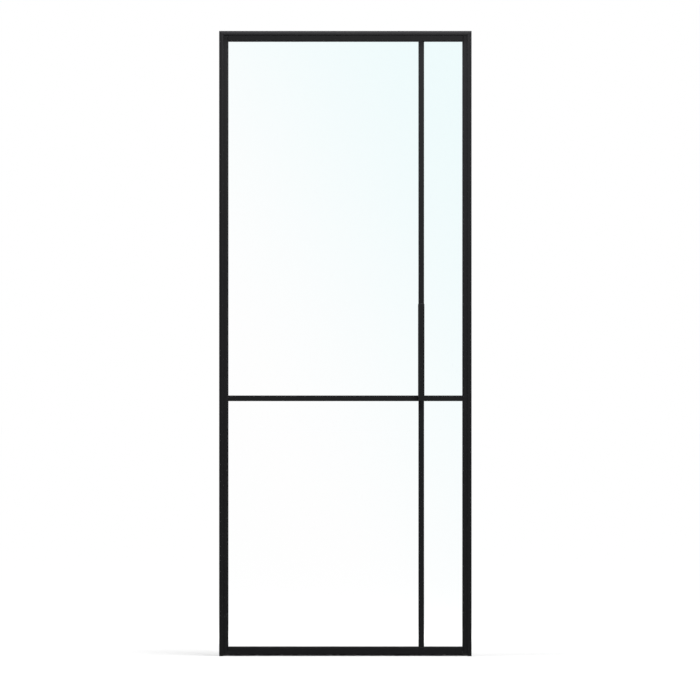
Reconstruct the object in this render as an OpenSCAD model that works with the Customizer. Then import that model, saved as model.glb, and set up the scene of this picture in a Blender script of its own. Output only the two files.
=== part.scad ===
// Glass door in its own slim frame: a framed pane hung on three flush hinges.
// Millimetres, Z up, floor at z = 0, middle of the frame at x = 0, middle of the leaf at y = 0.
// The front looks towards -Y. The hinges are on the left (-X) at the back (+Y).

/* [Frame] */
// Overall width of the frame
frame_w = 848; // [760:1:940]
// Overall height of the frame
frame_h = 2100; // [1950:1:2350]
// Width of the face strips, whose inner part is the door stop
lip_w = 14; // [13:0.5:18]
// Thickness of the face strips
lip_t = 4.5; // [4:0.1:6]
// Distance of a face strip's highest line from its outer edge
crown_x = 9.5; // [5:0.5:11]
// Fall of a face strip from that line to its outer edge
crown_d = 3.2; // [1:0.1:3.6]
// Rounding of a face strip's stop edge
stop_r = 2; // [1:0.1:2.5]
// Width of the tongue that holds a face strip on its web
tongue_w = 1.8; // [1.4:0.1:2.2]
// Depth of that tongue
tongue_d = 2; // [1.5:0.1:2.5]
// Thickness of the web against the wall
web_t = 5; // [4.5:0.1:6]
// Width of the channel along the wall side of the web
wall_channel_w = 24; // [20:0.5:27]
// Depth of that channel
wall_channel_d = 2; // [1.5:0.1:2.2]
// Rounding of the outer profile edges
edge_r = 1; // [0.5:0.1:1.5]

/* [Clearances] */
// Space between the leaf and each jamb
side_clear = 3; // [2.8:0.1:4]
// Space between the leaf and the head
top_clear = 3; // [2.8:0.1:4]
// Space between the leaf and the floor
floor_clear = 6; // [5:0.5:10]
// Space between the face strips and the closed leaf
stop_clear = 1.5; // [1.2:0.1:2.5]
// Radial clearance of screws, studs and inserts in their holes
fit_clear = 0.1; // [0.05:0.01:0.3]
// Radial clearance of the hinge pins in the knuckles
pin_clear = 0.05; // [0.02:0.01:0.1]

/* [Leaf profiles] */
// Thickness of the leaf
leaf_t = 32; // [30:0.5:38]
// Width of the stiles
stile_w = 22; // [20:0.5:30]
// Height of the top rail
top_rail_h = 27; // [24:0.5:40]
// Height of the bottom rail
bottom_rail_h = 25; // [24:0.5:40]
// Wall thickness of the hollow profiles
wall_t = 2; // [1.5:0.1:2.2]
// Width of the bevel along the glass
bevel_w = 4; // [2:0.5:5]
// Depth of the bevel along the glass
bevel_d = 3; // [1:0.5:3.5]
// Width of the glazing channel
channel_w = 12; // [11.6:0.1:13]
// Depth of the glazing channel
channel_d = 9.5; // [8.5:0.5:11]
// Outer radius of the screw ports in the rails
port_r = 4; // [3.5:0.1:4.2]
// Thickness of the plate of the stile end caps
cap_t = 2; // [1.5:0.1:3]
// Length of the plug of the stile end caps
cap_plug_l = 8; // [5:0.5:12]

/* [Glass and gaskets] */
// Thickness of the pane
glass_t = 8; // [6:0.5:9]
// Space under the edge of the pane
glass_bed = 2.5; // [2:0.1:3]
// Length of a setting block
block_l = 100; // [60:5:150]
// Distance of the setting blocks from the pane's ends
block_inset = 80; // [60:5:150]

/* [Glazing bars] */
// Width of the bars
bar_w = 19; // [16:0.5:25]
// Depth of a bar
bar_t = 7; // [5:0.5:8]
// Rounding of the bar's face
bar_r = 3; // [1:0.5:3]
// Wall thickness of the bars
bar_wall_t = 1.5; // [1:0.1:2]
// Thickness of the bonding tape
tape_t = 1; // [0.5:0.1:1]
// Distance of the tape from the bar's edge
tape_inset = 1; // [0.5:0.5:3]
// Upright bar, right of the middle of the door
bar_x = 255; // [150:1:300]
// Height of the cross bar above the floor
bar_z = 866; // [700:1:1000]

/* [Handles] */
// Width of the handle bar
handle_w = 21; // [18:0.5:30]
// Thickness of the handle bar
handle_t = 10; // [8:0.5:14]
// Length of the handle bar
handle_l = 327; // [250:1:500]
// Rounding of the handle bar
handle_r = 2; // [1:0.5:3]
// Finger space between the bar and the handle
handle_reach = 30; // [24:1:45]
// Diameter of the posts
post_d = 14; // [11:0.5:15]
// Distance of the posts from the handle's ends
post_inset = 45; // [20:1:80]
// Diameter of the spigot of a post
spigot_d = 8; // [6:0.5:9]
// Length of the spigot of a post
spigot_l = 4; // [2:0.5:6]
// Diameter of the studs through the pane
stud_d = 6; // [5:0.5:6]
// Length of the stud in each post
stud_grip = 18; // [12:1:20]
// Outer diameter of the grommets in the pane
grommet_d = 12; // [10:0.5:14]

/* [Hinges] */
// Length of a hinge
hinge_l = 100; // [90:1:120]
// Distance of the outer hinges from the leaf's ends
hinge_inset = 224; // [150:1:300]
// Thickness of the wings
wing_t = 2.5; // [2:0.1:2.6]
// Depth of the frame wing from the axis
wing_reach = 30; // [28:0.5:32]
// Width of the spine that joins the arms of the frame wing
spine_w = 6; // [5:0.5:8]
// Space between the nested wings
nest_clear = 0.5; // [0.4:0.1:1]
// Outer diameter of the knuckles
knuckle_d = 12; // [11:0.5:12.5]
// Distance of the knuckles from the back of the leaf
knuckle_clear = 0.5; // [0.4:0.1:2]
// Height of the leaf's knuckle
leaf_knuckle_h = 49.4; // [44:0.2:54]
// Diameter of the hinge pins
pin_d = 6; // [5:0.5:7]
// Diameter of the pin head
pin_head_d = 10; // [8:0.5:11]
// Height of the pin head
pin_head_h = 2; // [1:0.5:4]
// Thickness of the hinge washers
washer_t = 1; // [0.8:0.1:1.5]
// Height that the leaf's knuckle floats over a washer
washer_clear = 0.1; // [0.05:0.01:0.2]
// Thickness of the backing plates in the stile
backing_t = 4; // [3:0.5:5]
// Length of the backing plates
backing_l = 110; // [80:1:140]

/* [Fixings] */
// Diameter of the hinge and cleat screws
screw_d = 4; // [3.5:0.1:4.2]
// Head diameter of the hinge and cleat screws
screw_head_d = 7.6; // [7:0.1:7.8]
// Diameter of the corner screws of the leaf
corner_screw_d = 4.8; // [4.2:0.1:5]
// Head diameter of the corner screws
corner_head_d = 8.4; // [8:0.1:8.6]
// Grip of the corner screws in the rail ports
corner_grip = 25; // [15:1:40]
// Diameter of the wall screws
wall_screw_d = 5.5; // [5:0.1:6]
// Head diameter of the wall screws
wall_head_d = 10; // [9.4:0.1:10.4]
// Distance of the outer wall screw holes from the jamb's ends
wall_hole_inset = 120; // [60:5:130]
// Pitch of the inner wall screw holes
wall_hole_pitch = 700; // [400:10:900]
// Leg length of the corner cleats
cleat_l = 60; // [50:1:90]
// Width of a screw's hexagon socket for each millimetre of its shank
socket_ratio = 0.6; // [0.5:0.05:0.7]

/* [Seals and catch] */
// Width of the soft part of the stop seal
seal_w = 5; // [4:0.1:5.4]
// Width of the groove for the seal's foot
seal_groove_w = 2; // [1.5:0.1:2.5]
// Depth of the groove for the seal's foot
seal_groove_d = 1.5; // [1:0.1:2]
// Space between a seal and what it seals against
seal_air = 0.25; // [0.15:0.05:0.4]
// Thickness of the wall over the brush slot
brush_cover_t = 1.2; // [1:0.1:1.5]
// Width of the brush slot
brush_slot_w = 7; // [6:0.1:8]
// Depth of the brush slot
brush_slot_d = 2.2; // [1.8:0.1:2.6]
// Width of the pile
brush_pile_w = 3.6; // [3:0.1:4]
// Height of the pile's tips over the floor
brush_air = 0.6; // [0.4:0.1:2]
// Magnet to the middle of the closing stile
magnet_inset = 70; // [40:1:150]
// Diameter of the magnet's cup
magnet_d = 12; // [10:0.5:14]
// Depth of the magnet's cup
magnet_l = 8; // [6:0.5:10]
// Diameter of the cup's flange
magnet_flange_d = 16; // [14:0.5:18]
// Thickness of the cup's flange
magnet_flange_t = 1; // [0.8:0.1:1.2]
// Length of the keeper plate
keeper_l = 44; // [40:1:60]
// Width of the keeper plate
keeper_w = 16; // [14:0.5:20]
// Thickness of the keeper plate
keeper_t = 1.2; // [1:0.1:1.3]
// Diameter of the keeper screws
keeper_screw_d = 3; // [2.5:0.1:3.2]

/* [Hidden] */
$fn = 64;
arc_steps = 6;
over = 1;
coat = "#2B2C2E";
steel = "#8E9194";
brass = "#B08D4A";
soft = "#1B1B1C";
clear = "#D6ECEC";

half_w = frame_w / 2;
face_y = leaf_t / 2;
lip_back = -face_y - stop_clear;
lip_front = lip_back - lip_t;
crown_r = (crown_x * crown_x + crown_d * crown_d) / (2 * crown_d);
leaf_x = half_w - web_t - side_clear;
leaf_top = frame_h - web_t - top_clear;
stile_in = leaf_x - stile_w;
top_rail_z = leaf_top - top_rail_h;
bottom_rail_z = floor_clear + bottom_rail_h;
seal_u = (web_t + side_clear + lip_w) / 2;

pane_x = stile_in + channel_d - glass_bed;
pane_bottom = bottom_rail_z - channel_d + glass_bed;
pane_top = top_rail_z + channel_d - glass_bed;
gasket_y = channel_w / 2;
bar_back = glass_t / 2 + tape_t;
bar_face = bar_back + bar_t;
port_v = (channel_w / 2 + face_y) / 2;

handle_z = bar_z - bar_w / 2;
post_z = [handle_z + post_inset, handle_z + handle_l - post_inset];
post_end = bar_face + handle_reach;

axis_x = -half_w + web_t + side_clear / 2;
axis_y = face_y + knuckle_clear + knuckle_d / 2;
hinge_z = [floor_clear + hinge_inset, (floor_clear + leaf_top) / 2, leaf_top - hinge_inset];
mid_h = leaf_knuckle_h + 2 * (washer_t + washer_clear);
leaf_reach = wing_reach - spine_w - nest_clear;
arm_h = (hinge_l - mid_h) / 2;
frame_screw_y = [-wing_reach + spine_w, -knuckle_d / 2 - knuckle_clear - screw_head_d];
leaf_screw_yz = [
    [-leaf_reach + screw_head_d, -leaf_knuckle_h / 3],
    [-leaf_reach + screw_head_d, leaf_knuckle_h / 3],
    [-leaf_reach / 2, 0],
];
frame_screw_l = wing_t + web_t - wall_channel_d / 4;
leaf_screw_l = wing_t + wall_t + backing_t;

wall_hole_z = [
    wall_hole_inset,
    (frame_h - wall_hole_pitch) / 2,
    (frame_h + wall_hole_pitch) / 2,
    frame_h - wall_hole_inset,
];
cleat_screw_s = [cleat_l / 2, cleat_l - screw_head_d];
magnet_x = leaf_x - stile_w / 2 - magnet_inset;
keeper_screw_x = [2 * keeper_screw_d - keeper_l / 2, keeper_l / 2 - 2 * keeper_screw_d];

// Helpers

// Points of an arc about c from angle a0 to a1
function arc(c, r, a0, a1) = [
    for (i = [0:arc_steps]) let (a = a0 + (a1 - a0) * i / arc_steps) c + r * [cos(a), sin(a)]
];

module rounded_rect(w, h, r) {
    polygon(concat(
        arc([w / 2 - r, h / 2 - r], r, 0, 90),
        arc([r - w / 2, h / 2 - r], r, 90, 180),
        arc([r - w / 2, r - h / 2], r, 180, 270),
        arc([w / 2 - r, r - h / 2], r, 270, 360)));
}

// Countersunk screw, head flush with z = 0, shank down
module screw(d, head_d, l) {
    difference() {
        rotate_extrude()
            polygon([[0, 0], [head_d / 2, 0], [d / 2, (d - head_d) / 2], [d / 2, -l], [0, -l]]);
        translate([0, 0, (d - head_d) / 2])
            cylinder(h = head_d, d = d * socket_ratio, $fn = 6);
    }
}

// Hole for that screw
module screw_hole(d, head_d, l) {
    r = d / 2 + fit_clear;
    head_r = head_d / 2 + fit_clear;
    rotate_extrude()
        polygon([
            [0, over], [head_r, over], [head_r, 0], [r, r - head_r], [r, -l - over], [0, -l - over],
        ]);
}

// Puts children that point down -Z on the inner face of the hinge jamb, pointing at the wall
module from_jamb(u, y, z) {
    translate([u - half_w, y, z]) rotate([0, 90, 0]) children();
}

// Same, pointing from the wall into the leaf
module to_leaf(u, y, z) {
    translate([u - half_w, y, z]) rotate([0, -90, 0]) children();
}

// Lays a profile along X: its x axis points down for a top piece and up for a bottom piece
module along_x(x0, x1, z, down) {
    if (down) translate([x0, 0, z]) rotate([0, 90, 0]) linear_extrude(x1 - x0) children();
    else translate([x1, 0, z]) rotate([0, -90, 0]) linear_extrude(x1 - x0) children();
}

// Frame

// Web of a jamb or the head: on the wall at x = 0, with a channel for the cleats
// and a slot for the tongue of the face strip
module web_profile() {
    difference() {
        polygon(concat(
            [[0, lip_back], [web_t, lip_back]],
            arc([web_t - edge_r, face_y - edge_r], edge_r, 0, 90),
            [[0, face_y]]));
        translate([-over, -wall_channel_w / 2])
            square([wall_channel_d + over, wall_channel_w]);
        translate([(web_t - tongue_w) / 2 - fit_clear, lip_back - over])
            square([tongue_w + 2 * fit_clear, over + tongue_d + fit_clear]);
    }
}

// Crowned face strip: outer edge at x = 0, stop edge with the seal's groove at x = lip_w
module face_profile() {
    difference() {
        intersection() {
            polygon(concat(
                [[0, lip_back], [0, lip_front - over], [lip_w - stop_r, lip_front - over]],
                arc([lip_w - stop_r, lip_front + stop_r], stop_r, 270, 360),
                [[lip_w, lip_back]]));
            translate([crown_x, lip_front + crown_r]) circle(r = crown_r);
        }
        translate([seal_u - seal_groove_w / 2, lip_back - seal_groove_d])
            square([seal_groove_w, seal_groove_d + over]);
    }
}

module tongue_profile() {
    translate([(web_t - tongue_w) / 2, lip_back - over]) square([tongue_w, over + tongue_d]);
}

// Block on one side of the left mitre: the head's side above the cut, the jamb's side below it
module mitre_block(above) {
    far = lip_w + over;
    translate([-half_w, leaf_t, frame_h]) rotate([90, 0, 0]) linear_extrude(2 * leaf_t)
        polygon([[-over, over], [far, -far], above ? [far, over] : [-over, -far]]);
}

module jamb() {
    difference() {
        translate([-half_w, 0, 0]) linear_extrude(frame_h) web_profile();
        for (z = wall_hole_z)
            from_jamb(web_t, 0, z) screw_hole(wall_screw_d, wall_head_d, web_t);
        for (s = cleat_screw_s)
            from_jamb(web_t, 0, frame_h - s) screw_hole(screw_d, screw_head_d, web_t);
        translate([-half_w - over, -wall_channel_w / 2, frame_h - wall_channel_d])
            cube([web_t + 2 * over, wall_channel_w, wall_channel_d + over]);
    }
}

module hinge_jamb() {
    color(coat) difference() {
        jamb();
        for (z = hinge_z) hinge_frame_screw_places(z) screw_hole(screw_d, screw_head_d, frame_screw_l);
    }
}

module closing_jamb() {
    color(coat) mirror([1, 0, 0]) jamb();
}

module head() {
    color(coat) difference() {
        along_x(web_t - half_w, half_w - web_t, frame_h, true) web_profile();
        for (s = [-1, 1], d = cleat_screw_s)
            translate([s * (half_w - d), 0, frame_h - web_t])
                rotate([180, 0, 0]) screw_hole(screw_d, screw_head_d, web_t);
        for (x = keeper_screw_x)
            translate([magnet_x + x, 0, frame_h - web_t - over])
                cylinder(h = web_t + 2 * over, d = keeper_screw_d + 2 * fit_clear);
    }
}

module jamb_face() {
    difference() {
        translate([-half_w, 0, 0]) linear_extrude(frame_h) union() {
            face_profile();
            tongue_profile();
        }
        mitre_block(true);
    }
}

module hinge_jamb_face() {
    color(coat) jamb_face();
}

module closing_jamb_face() {
    color(coat) mirror([1, 0, 0]) jamb_face();
}

module head_face() {
    color(coat) difference() {
        union() {
            along_x(-half_w, half_w, frame_h, true) face_profile();
            along_x(web_t - half_w, half_w - web_t, frame_h, true) tongue_profile();
        }
        for (m = [0, 1]) mirror([m, 0, 0]) mitre_block(false);
    }
}

module cleat() {
    w = wall_channel_w - 2 * fit_clear;
    difference() {
        union() {
            translate([-half_w, -w / 2, frame_h - cleat_l]) cube([wall_channel_d, w, cleat_l]);
            translate([-half_w, -w / 2, frame_h - wall_channel_d]) cube([cleat_l, w, wall_channel_d]);
        }
        for (s = cleat_screw_s) {
            from_jamb(web_t, 0, frame_h - s) screw_hole(screw_d, screw_head_d, web_t);
            translate([s - half_w, 0, frame_h - web_t])
                rotate([180, 0, 0]) screw_hole(screw_d, screw_head_d, web_t);
        }
    }
}

module cleat_left() {
    color(steel) cleat();
}

module cleat_right() {
    color(steel) mirror([1, 0, 0]) cleat();
}

module cleat_screws() {
    color(steel) for (m = [0, 1]) mirror([m, 0, 0]) for (s = cleat_screw_s) {
        from_jamb(web_t, 0, frame_h - s) screw(screw_d, screw_head_d, web_t);
        translate([s - half_w, 0, frame_h - web_t])
            rotate([180, 0, 0]) screw(screw_d, screw_head_d, web_t);
    }
}

// Flat bulb with a foot in the groove of the face strip
module seal_profile() {
    foot_w = seal_groove_w - 2 * fit_clear;
    bulb_t = stop_clear - seal_air;
    translate([seal_u, lip_back + bulb_t / 2]) rounded_rect(seal_w, bulb_t, bulb_t / 3);
    translate([seal_u - foot_w / 2, lip_back - seal_groove_d + fit_clear])
        square([foot_w, seal_groove_d + bulb_t / 2]);
}

module jamb_seal() {
    translate([-half_w, 0, 0]) linear_extrude(frame_h - seal_u - seal_w / 2) seal_profile();
}

module seal_hinge_side() {
    color(soft) jamb_seal();
}

module seal_closing_side() {
    color(soft) mirror([1, 0, 0]) jamb_seal();
}

module seal_head() {
    color(soft) along_x(seal_u - half_w, half_w - seal_u, frame_h, true) seal_profile();
}

module catch_keeper() {
    color(steel) difference() {
        translate([magnet_x, 0, frame_h - web_t - keeper_t])
            linear_extrude(keeper_t) rounded_rect(keeper_l, keeper_w, edge_r);
        for (x = keeper_screw_x)
            translate([magnet_x + x, 0, frame_h - web_t - keeper_t])
                rotate([180, 0, 0]) screw_hole(keeper_screw_d, keeper_screw_d + 2 * keeper_t, keeper_t);
    }
}

module keeper_screws() {
    color(steel) for (x = keeper_screw_x)
        translate([magnet_x + x, 0, frame_h - web_t - keeper_t]) rotate([180, 0, 0])
            screw(keeper_screw_d, keeper_screw_d + 2 * keeper_t, keeper_t + web_t - wall_channel_d);
}

// Hinges

module hinge_frame_screw_places(z) {
    for (s = [-1, 1], y = frame_screw_y)
        from_jamb(web_t + wing_t, axis_y + y, z + s * (hinge_l - arm_h) / 2) children();
}

module hinge_leaf_screw_places(z) {
    for (p = leaf_screw_yz)
        to_leaf(web_t + side_clear - wing_t, axis_y + p[0], z + p[1]) children();
}

// Outer wing with two arms and two knuckles
module hinge_frame_wing(z) {
    color(coat) difference() {
        translate([axis_x, axis_y, z]) difference() {
            union() {
                translate([-side_clear / 2, -wing_reach, -hinge_l / 2])
                    cube([wing_t, wing_reach, hinge_l]);
                translate([0, 0, -hinge_l / 2]) cylinder(h = hinge_l, d = knuckle_d);
            }
            translate([-knuckle_d, spine_w - wing_reach, -mid_h / 2])
                cube([2 * knuckle_d, wing_reach + knuckle_d, mid_h]);
            cylinder(h = hinge_l + 2 * over, d = pin_d + 2 * pin_clear, center = true);
        }
        hinge_frame_screw_places(z) screw_hole(screw_d, screw_head_d, frame_screw_l);
    }
}

// Inner wing with one knuckle, nested in the outer one
module hinge_leaf_wing(z) {
    color(coat) difference() {
        translate([axis_x, axis_y, z - leaf_knuckle_h / 2]) difference() {
            union() {
                translate([side_clear / 2 - wing_t, -leaf_reach, 0])
                    cube([wing_t, leaf_reach, leaf_knuckle_h]);
                cylinder(h = leaf_knuckle_h, d = knuckle_d);
            }
            translate([0, 0, -over]) cylinder(h = leaf_knuckle_h + 2 * over, d = pin_d + 2 * pin_clear);
        }
        hinge_leaf_screw_places(z) screw_hole(screw_d, screw_head_d, leaf_screw_l);
    }
}

module hinge_pin(z) {
    color(steel) translate([axis_x, axis_y, z]) union() {
        cylinder(h = hinge_l, d = pin_d, center = true);
        translate([0, 0, hinge_l / 2]) cylinder(h = pin_head_h, d = pin_head_d);
    }
}

module hinge_frame_wing_bottom() { hinge_frame_wing(hinge_z[0]); }
module hinge_frame_wing_middle() { hinge_frame_wing(hinge_z[1]); }
module hinge_frame_wing_top() { hinge_frame_wing(hinge_z[2]); }
module hinge_leaf_wing_bottom() { hinge_leaf_wing(hinge_z[0]); }
module hinge_leaf_wing_middle() { hinge_leaf_wing(hinge_z[1]); }
module hinge_leaf_wing_top() { hinge_leaf_wing(hinge_z[2]); }
module hinge_pin_bottom() { hinge_pin(hinge_z[0]); }
module hinge_pin_middle() { hinge_pin(hinge_z[1]); }
module hinge_pin_top() { hinge_pin(hinge_z[2]); }

module hinge_washers() {
    color(brass) for (z = hinge_z, s = [-1, 1])
        translate([axis_x, axis_y, z + s * (mid_h - washer_t) / 2]) difference() {
            cylinder(h = washer_t, d = knuckle_d, center = true);
            cylinder(h = washer_t + 2 * over, d = pin_d + 2 * fit_clear, center = true);
        }
}

module hinge_frame_screws() {
    color(steel) for (z = hinge_z)
        hinge_frame_screw_places(z) screw(screw_d, screw_head_d, frame_screw_l);
}

module hinge_leaf_screws() {
    color(steel) for (z = hinge_z)
        hinge_leaf_screw_places(z) screw(screw_d, screw_head_d, leaf_screw_l);
}

module hinge_backing_plates() {
    w = leaf_t - 2 * wall_t - 2 * fit_clear;
    color(steel) for (z = hinge_z) difference() {
        translate([wall_t - leaf_x, -w / 2, z - backing_l / 2]) cube([backing_t, w, backing_l]);
        hinge_leaf_screw_places(z) screw_hole(screw_d, screw_head_d, leaf_screw_l);
    }
}

// Leaf

// Outline of a stile or rail: outer edge at x = 0, glazing channel and bevels at x = w
module leaf_outline(w) {
    polygon(concat(
        arc([edge_r, edge_r - face_y], edge_r, 180, 270),
        [
            [w - bevel_w, -face_y], [w, bevel_d - face_y],
            [w, -channel_w / 2], [w - channel_d, -channel_w / 2],
            [w - channel_d, channel_w / 2], [w, channel_w / 2],
            [w, face_y - bevel_d], [w - bevel_w, face_y],
        ],
        arc([edge_r, face_y - edge_r], edge_r, 90, 180)));
}

// Hollows of that profile: one behind the channel, one on each side of it
module leaf_chambers(w) {
    side_w = face_y - channel_w / 2 - 2 * wall_t;
    translate([wall_t, wall_t - face_y]) square([w - channel_d - 2 * wall_t, leaf_t - 2 * wall_t]);
    for (s = [-1, 1])
        translate([w - channel_d, s * port_v - side_w / 2]) square([channel_d - bevel_w, side_w]);
}

module stile_profile() {
    difference() {
        leaf_outline(stile_w);
        leaf_chambers(stile_w);
    }
}

// Middle of the screw ports from the outer edge of a rail
function port_u(h) = (h - channel_d) / 2;

module rail_profile(h) {
    difference() {
        leaf_outline(h);
        difference() {
            leaf_chambers(h);
            for (s = [-1, 1]) translate([port_u(h), s * port_v]) circle(r = port_r);
        }
        for (s = [-1, 1]) translate([port_u(h), s * port_v]) circle(d = corner_screw_d + 2 * fit_clear);
    }
}

// Bottom rail with a slot for the brush
module bottom_profile() {
    land_d = brush_cover_t + brush_slot_d + wall_t;
    land_w = brush_slot_w + 2 * wall_t;
    mouth_w = brush_pile_w + 4 * fit_clear;
    difference() {
        union() {
            rail_profile(bottom_rail_h);
            translate([0, -land_w / 2]) square([land_d, land_w]);
        }
        translate([brush_cover_t, -brush_slot_w / 2]) square([brush_slot_d, brush_slot_w]);
        translate([-over, -mouth_w / 2]) square([over + brush_cover_t + over, mouth_w]);
    }
}

// Corner screws of the hinge stile, at the ends of both rails
module corner_screw_places() {
    for (s = [-1, 1], z = [floor_clear + port_u(bottom_rail_h), leaf_top - port_u(top_rail_h)])
        to_leaf(half_w - leaf_x, s * port_v, z) children();
}

module stile() {
    difference() {
        translate([-leaf_x, 0, floor_clear + cap_t])
            linear_extrude(leaf_top - floor_clear - 2 * cap_t) stile_profile();
        corner_screw_places() screw_hole(corner_screw_d, corner_head_d, stile_w);
    }
}

module hinge_stile() {
    color(coat) difference() {
        stile();
        for (z = hinge_z) hinge_leaf_screw_places(z) screw_hole(screw_d, screw_head_d, leaf_screw_l);
    }
}

module closing_stile() {
    color(coat) mirror([1, 0, 0]) stile();
}

module top_rail() {
    color(coat) difference() {
        along_x(-stile_in, stile_in, leaf_top, true) rail_profile(top_rail_h);
        translate([magnet_x, 0, leaf_top - wall_t - over])
            cylinder(h = wall_t + 2 * over, d = magnet_d + 2 * fit_clear);
    }
}

module bottom_rail() {
    color(coat) along_x(-stile_in, stile_in, floor_clear, false) bottom_profile();
}

module corner_screws() {
    color(steel) for (m = [0, 1]) mirror([m, 0, 0])
        corner_screw_places() screw(corner_screw_d, corner_head_d, stile_w + corner_grip);
}

// Bottom cap of the hinge stile: plate and a plug between the corner screws
module cap() {
    plug_x = stile_w - channel_d - 2 * wall_t - 2 * fit_clear;
    plug_y = 2 * port_v - corner_head_d;
    translate([stile_w / 2 - leaf_x, 0, floor_clear])
        linear_extrude(cap_t) rounded_rect(stile_w, leaf_t, edge_r);
    translate([wall_t + fit_clear - leaf_x, -plug_y / 2, floor_clear + cap_t - over])
        cube([plug_x, plug_y, cap_plug_l + over]);
}

// Fin under a bottom cap that carries on the line of the brush
module cap_fin() {
    translate([edge_r - leaf_x, -brush_pile_w / 2, brush_air])
        cube([stile_w - edge_r - fit_clear, brush_pile_w, floor_clear - brush_air + over]);
}

module bottom_cap() {
    cap();
    cap_fin();
}

// Moves a bottom cap to the top
module to_top() {
    translate([0, 0, floor_clear + leaf_top]) mirror([0, 0, 1]) children();
}

module cap_hinge_bottom() {
    color(soft) bottom_cap();
}

module cap_hinge_top() {
    color(soft) to_top() cap();
}

module cap_closing_bottom() {
    color(soft) mirror([1, 0, 0]) bottom_cap();
}

module cap_closing_top() {
    color(soft) mirror([1, 0, 0]) to_top() cap();
}

// Glass

module pane_hole_places() {
    for (z = post_z) translate([bar_x, 0, z]) rotate([90, 0, 0]) children();
}

module glass_pane() {
    color(clear, 0.4) difference() {
        translate([-pane_x, -glass_t / 2, pane_bottom])
            cube([2 * pane_x, glass_t, pane_top - pane_bottom]);
        pane_hole_places() cylinder(h = glass_t + 2 * over, d = grommet_d + 2 * fit_clear, center = true);
    }
}

// Channel-shaped gasket around the pane's edge, outer edge of the profile at x = 0
module gasket_profile() {
    d = channel_d - fit_clear;
    difference() {
        translate([0, -gasket_y]) square([d, 2 * gasket_y]);
        translate([glass_bed, -glass_t / 2]) square([d, glass_t]);
    }
}

module side_gasket() {
    translate([-pane_x - glass_bed, 0, pane_bottom])
        linear_extrude(pane_top - pane_bottom) gasket_profile();
}

module gasket_hinge_side() {
    color(soft) side_gasket();
}

module gasket_closing_side() {
    color(soft) mirror([1, 0, 0]) side_gasket();
}

module gasket_top() {
    color(soft) along_x(-stile_in, stile_in, pane_top + glass_bed, true) gasket_profile();
}

module block_places() {
    for (s = [-1, 1])
        translate([s * (stile_in - block_inset - block_l / 2), 0, pane_bottom - glass_bed]) children();
}

module gasket_bottom() {
    color(soft) difference() {
        along_x(-stile_in, stile_in, pane_bottom - glass_bed, false) gasket_profile();
        block_places() translate([-block_l / 2 - fit_clear, -glass_t / 2, -over])
            cube([block_l + 2 * fit_clear, glass_t, glass_bed + 2 * over]);
    }
}

module setting_blocks() {
    color(soft) block_places() translate([-block_l / 2, fit_clear - glass_t / 2, 0])
        cube([block_l, glass_t - 2 * fit_clear, glass_bed]);
}

// Glazing bars

// Hollow bar section, its back at y = -bar_back and its rounded face towards the front
module bar_profile() {
    x = bar_w / 2;
    difference() {
        polygon(concat(
            arc([bar_r - x, bar_r - bar_face], bar_r, 180, 270),
            arc([x - bar_r, bar_r - bar_face], bar_r, 270, 360),
            arc([x - edge_r, -bar_back - edge_r], edge_r, 0, 90),
            arc([edge_r - x, -bar_back - edge_r], edge_r, 90, 180)));
        translate([0, -bar_back - bar_t / 2])
            square([bar_w - 2 * bar_wall_t, bar_t - 2 * bar_wall_t], center = true);
    }
}

module upright_bar() {
    difference() {
        translate([bar_x, 0, bottom_rail_z]) linear_extrude(top_rail_z - bottom_rail_z) bar_profile();
        pane_hole_places() cylinder(h = leaf_t, d = stud_d + 4 * fit_clear);
    }
}

module cross_bar(x0, x1) {
    along_x(x0, x1, bar_z, true) bar_profile();
}

module upright_bar_front() {
    color(coat) upright_bar();
}

module upright_bar_back() {
    color(coat) mirror([0, 1, 0]) upright_bar();
}

module cross_bar_front_left() {
    color(coat) cross_bar(-stile_in, bar_x - bar_w / 2);
}

module cross_bar_front_right() {
    color(coat) cross_bar(bar_x + bar_w / 2, stile_in);
}

module cross_bar_back_left() {
    color(coat) mirror([0, 1, 0]) cross_bar_front_left();
}

module cross_bar_back_right() {
    color(coat) mirror([0, 1, 0]) cross_bar_front_right();
}

// Tape strips under the bars of one side
module bar_tape() {
    w = bar_w - 2 * tape_inset;
    y = -glass_t / 2 - tape_t;
    difference() {
        translate([bar_x - w / 2, y, bottom_rail_z]) cube([w, tape_t, top_rail_z - bottom_rail_z]);
        pane_hole_places() cylinder(h = leaf_t, d = grommet_d + 2 * fit_clear);
    }
    translate([-stile_in, y, bar_z - w / 2]) cube([stile_in + bar_x - bar_w / 2, tape_t, w]);
    translate([bar_x + bar_w / 2, y, bar_z - w / 2]) cube([stile_in - bar_x - bar_w / 2, tape_t, w]);
}

module bar_tape_front() {
    color(soft) bar_tape();
}

module bar_tape_back() {
    color(soft) mirror([0, 1, 0]) bar_tape();
}

// Handles

// Flat bar with all edges rounded, bored for the spigots of the posts
module handle_bar() {
    difference() {
        translate([bar_x, -post_end - handle_t / 2, handle_z + handle_l / 2]) intersection() {
            linear_extrude(handle_l, center = true) rounded_rect(handle_w, handle_t, handle_r);
            rotate([90, 0, 0])
                linear_extrude(handle_t, center = true) rounded_rect(handle_w, handle_l, handle_r);
            rotate([0, 90, 0])
                linear_extrude(handle_w, center = true) rounded_rect(handle_l, handle_t, handle_r);
        }
        pane_hole_places() cylinder(h = post_end + spigot_l + fit_clear, d = spigot_d + 2 * fit_clear);
    }
}

module handle_front() {
    color(coat) handle_bar();
}

module handle_back() {
    color(coat) mirror([0, 1, 0]) handle_bar();
}

// Two posts, each with a spigot in the handle bar and a bore for the stud
module handle_posts() {
    pane_hole_places() difference() {
        union() {
            translate([0, 0, bar_face]) cylinder(h = handle_reach, d = post_d);
            translate([0, 0, post_end - over]) cylinder(h = spigot_l + over, d = spigot_d);
        }
        translate([0, 0, bar_face - over])
            cylinder(h = stud_grip + 2 * over, d = stud_d + 2 * fit_clear);
    }
}

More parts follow.
